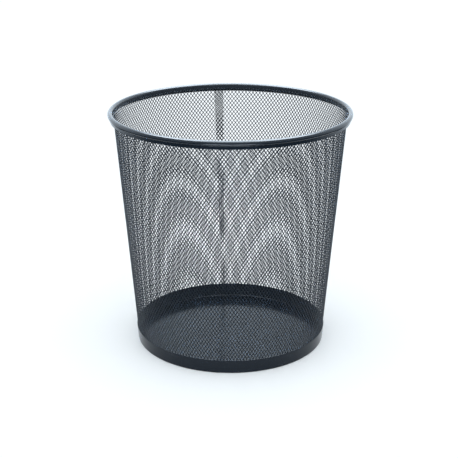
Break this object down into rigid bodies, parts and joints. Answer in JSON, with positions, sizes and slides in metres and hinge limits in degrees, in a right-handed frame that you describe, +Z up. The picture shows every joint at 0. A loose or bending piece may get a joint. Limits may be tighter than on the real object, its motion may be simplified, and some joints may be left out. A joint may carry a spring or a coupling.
{
  "type": "wastebasket",
  "caption": "Round tapered office wastebasket with an expanded-steel mesh wall, a rolled rim and a pressed steel base pan.",
  "frame": {"origin": "centre of the flat underside of the base pan, on the floor that the bin stands on", "axes": "+Z up along the bin's axis towards the open mouth; the wall's lap seam is at the back, just to the -X side of the +Y direction"},
  "size_m": [0.295, 0.295, 0.294],
  "materials": {
    "powder_coated_mesh": "satin",
    "powder_coated_sheet": "satin",
    "weld_steel": "satin"
  },
  "bodies": {
    "root": {"mesh_wall": "powder_coated_mesh", "rolled_rim": "powder_coated_sheet", "base_pan": "powder_coated_sheet", "rim_welds": "weld_steel", "base_welds": "weld_steel"}
  },
  "joints": []
}
